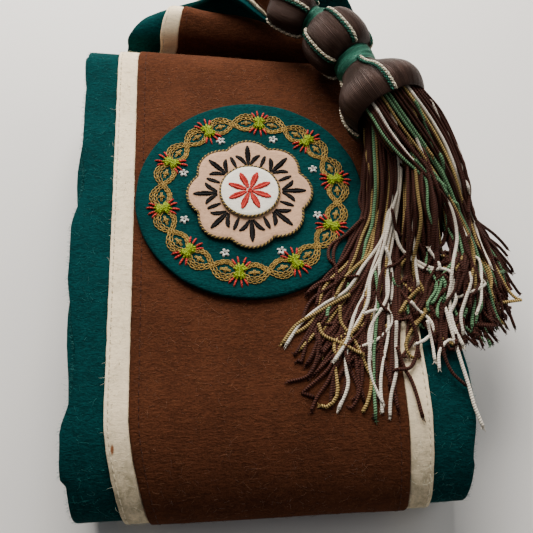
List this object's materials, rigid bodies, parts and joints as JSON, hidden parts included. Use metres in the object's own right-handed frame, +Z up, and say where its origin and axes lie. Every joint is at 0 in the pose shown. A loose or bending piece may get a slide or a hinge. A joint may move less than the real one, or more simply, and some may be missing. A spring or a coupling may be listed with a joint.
{
  "type": "ceremonial sash",
  "caption": "Folded wool-felt ceremonial shoulder sash with edge stripes, a round embroidered badge and a lobed, fringed tassel.",
  "frame": {"origin": "centre of the folded packet, on the face that it rests on", "axes": "+X to the right across the band, +Y along the band to the far side, +Z up"},
  "size_m": [0.1653, 0.2319, 0.0743],
  "materials": {
    "teal_felt": "soft matte wool felt",
    "cream_felt": "soft matte wool felt",
    "brown_felt": "soft matte wool felt with a fine fuzz",
    "badge_teal_felt": "soft matte wool felt with embroidery",
    "beige_felt": "soft matte wool felt with embroidery",
    "dark_floss": "silky wound floss",
    "green_satin": "satin ribbon, wrapped tight",
    "twisted_cord": "green and white twisted cord pair",
    "fringe_cord": "fine soft cords in brown, white, sage and gold-brown"
  },
  "bodies": {
    "root": {"base_band": "teal_felt", "white_strip_left": "cream_felt", "white_strip_right": "cream_felt", "brown_panel": "brown_felt", "badge_ground": "badge_teal_felt", "badge_medallion": "beige_felt", "badge_disc": "cream_felt", "knob_top": "dark_floss", "knob_middle": "dark_floss", "bell": "dark_floss", "neck_wrap_upper": "green_satin", "neck_wrap_lower": "green_satin", "fringe": "fringe_cord", "cord_knob_top_1": "twisted_cord", "cord_knob_top_2": "twisted_cord", "cord_knob_top_3": "twisted_cord", "cord_knob_top_4": "twisted_cord", "cord_knob_middle_1": "twisted_cord", "cord_knob_middle_2": "twisted_cord", "cord_knob_middle_3": "twisted_cord", "cord_knob_middle_4": "twisted_cord", "cord_knob_middle_5": "twisted_cord", "cord_bell_1": "twisted_cord", "cord_bell_2": "twisted_cord", "cord_bell_3": "twisted_cord", "cord_bell_4": "twisted_cord"}
  },
  "joints": []
}
